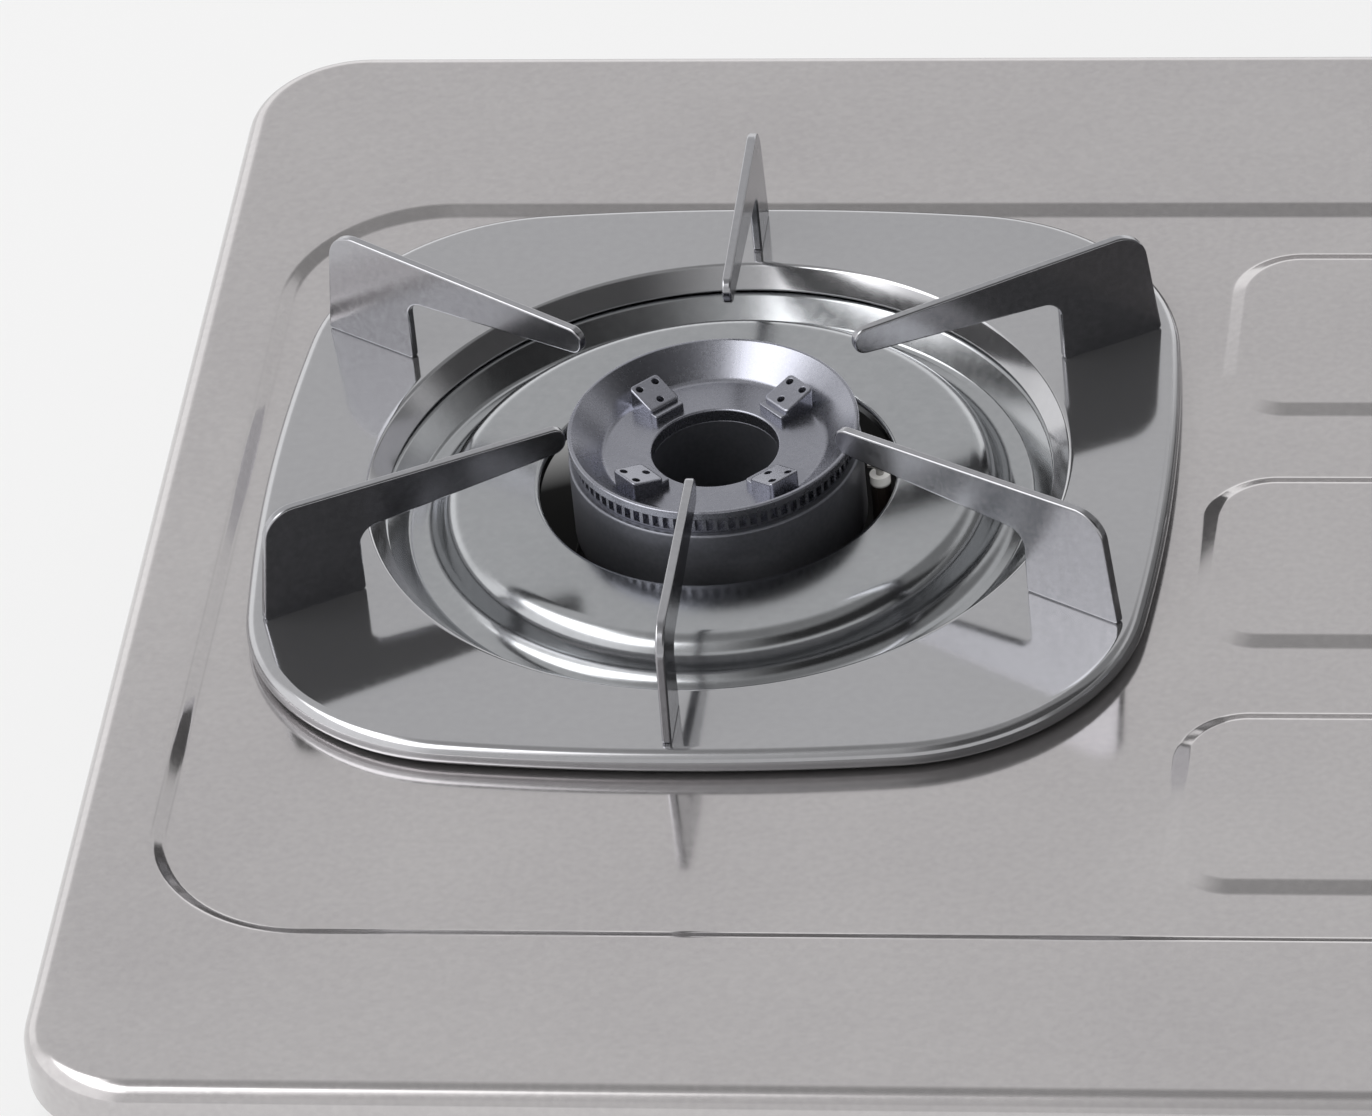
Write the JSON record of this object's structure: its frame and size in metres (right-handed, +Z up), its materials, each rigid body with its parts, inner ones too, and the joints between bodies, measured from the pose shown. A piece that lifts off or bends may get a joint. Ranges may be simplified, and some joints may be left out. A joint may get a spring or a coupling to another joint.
{
  "type": "two burner gas stove",
  "caption": "Table-top gas stove: pressed steel top with lift-off bladed trivets, drip bowls and capped burners, knobs on the front and a hose inlet at the back.",
  "frame": {"origin": "on the table under the middle of the stove", "axes": "+X to the right along the width, +Y to the back where the hose joins, +Z up"},
  "size_m": [0.7, 0.404, 0.1302],
  "materials": {
    "top_steel": "satin pressed stainless sheet",
    "case_steel": "satin bent stainless sheet",
    "zinc_steel": "zinc plated steel",
    "brass": "machined brass",
    "foot_rubber": "moulded black rubber",
    "trivet_steel": "polished sheet steel",
    "bowl_steel": "bright pressed sheet steel",
    "cap_metal": "machined grey metal",
    "ceramic": "white glazed insulator",
    "spark_steel": "drawn wire",
    "lead_cover": "silicone covered lead",
    "knob_plastic": "moulded black plastic",
    "bezel_chrome": "bright trim ring",
    "igniter_plastic": "moulded case"
  },
  "bodies": {
    "stove": {"top_plate": "top_steel", "front_panel": "case_steel", "rear_panel": "case_steel", "left_side_panel": "case_steel", "right_side_panel": "case_steel", "foot_left_front": "foot_rubber", "foot_left_rear": "foot_rubber", "foot_right_front": "foot_rubber", "foot_right_rear": "foot_rubber", "gas_manifold": "zinc_steel", "inlet_pipe": "zinc_steel", "inlet_nut": "zinc_steel", "hose_nipple": "brass", "left_burner_bracket": "zinc_steel", "left_burner_body": "cap_metal", "left_spark_ceramic": "ceramic", "left_spark_rod": "spark_steel", "left_spark_lead": "lead_cover", "left_gas_tap": "brass", "left_injector": "brass", "left_piezo_igniter": "igniter_plastic", "left_knob_bezel": "bezel_chrome", "right_burner_bracket": "zinc_steel", "right_burner_body": "cap_metal", "right_spark_ceramic": "ceramic", "right_spark_rod": "spark_steel", "right_spark_lead": "lead_cover", "right_gas_tap": "brass", "right_injector": "brass", "right_piezo_igniter": "igniter_plastic", "right_knob_bezel": "bezel_chrome"},
    "left_tap_rotor": {"left_tap_plug": "brass"},
    "left_knob_set": {"left_knob": "knob_plastic", "left_tap_spindle": "zinc_steel"},
    "left_shutter": {"left_air_shutter": "zinc_steel"},
    "left_bowl": {"left_drip_bowl": "bowl_steel"},
    "left_trivet": {"left_trivet_plate": "trivet_steel", "left_trivet_blade_1": "trivet_steel", "left_trivet_blade_2": "trivet_steel", "left_trivet_blade_3": "trivet_steel", "left_trivet_blade_4": "trivet_steel", "left_trivet_blade_5": "trivet_steel", "left_trivet_blade_6": "trivet_steel"},
    "left_cap": {"left_burner_cap": "cap_metal"},
    "right_tap_rotor": {"right_tap_plug": "brass"},
    "right_knob_set": {"right_knob": "knob_plastic", "right_tap_spindle": "zinc_steel"},
    "right_shutter": {"right_air_shutter": "zinc_steel"},
    "right_bowl": {"right_drip_bowl": "bowl_steel"},
    "right_trivet": {"right_trivet_plate": "trivet_steel", "right_trivet_blade_1": "trivet_steel", "right_trivet_blade_2": "trivet_steel", "right_trivet_blade_3": "trivet_steel", "right_trivet_blade_4": "trivet_steel", "right_trivet_blade_5": "trivet_steel", "right_trivet_blade_6": "trivet_steel"},
    "right_cap": {"right_burner_cap": "cap_metal"}
  },
  "joints": [
    {"name": "left_tap_turn", "type": "hinge", "parent": "stove", "child": "left_tap_rotor", "pos_m": [-0.229, -0.168, 0.06], "axis": [0, -1, 0], "range_deg": [0, 180]},
    {"name": "left_knob_push", "type": "slide", "parent": "left_tap_rotor", "child": "left_knob_set", "axis": [0, 1, 0], "range_m": [0, 0.004], "stiffness_N_per_m": 1200, "springref_m": -0.004},
    {"name": "left_shutter_turn", "type": "hinge", "parent": "stove", "child": "left_shutter", "pos_m": [-0.229, -0.1292, 0.06], "axis": [0, -1, 0], "range_deg": [-40, 30]},
    {"name": "left_bowl_lift", "type": "slide", "parent": "stove", "child": "left_bowl", "axis": [0, 0, 1], "range_m": [0, 0.1]},
    {"name": "left_trivet_lift", "type": "slide", "parent": "left_bowl", "child": "left_trivet", "axis": [0, 0, 1], "range_m": [0, 0.1]},
    {"name": "left_cap_lift", "type": "slide", "parent": "stove", "child": "left_cap", "axis": [0, 0, 1], "range_m": [0, 0.1]},
    {"name": "right_tap_turn", "type": "hinge", "parent": "stove", "child": "right_tap_rotor", "pos_m": [0.229, -0.168, 0.06], "axis": [0, -1, 0], "range_deg": [0, 180]},
    {"name": "right_knob_push", "type": "slide", "parent": "right_tap_rotor", "child": "right_knob_set", "axis": [0, 1, 0], "range_m": [0, 0.004], "stiffness_N_per_m": 1200, "springref_m": -0.004},
    {"name": "right_shutter_turn", "type": "hinge", "parent": "stove", "child": "right_shutter", "pos_m": [0.229, -0.1292, 0.06], "axis": [0, -1, 0], "range_deg": [-40, 30]},
    {"name": "right_bowl_lift", "type": "slide", "parent": "stove", "child": "right_bowl", "axis": [0, 0, 1], "range_m": [0, 0.1]},
    {"name": "right_trivet_lift", "type": "slide", "parent": "right_bowl", "child": "right_trivet", "axis": [0, 0, 1], "range_m": [0, 0.1]},
    {"name": "right_cap_lift", "type": "slide", "parent": "stove", "child": "right_cap", "axis": [0, 0, 1], "range_m": [0, 0.1]}
  ]
}
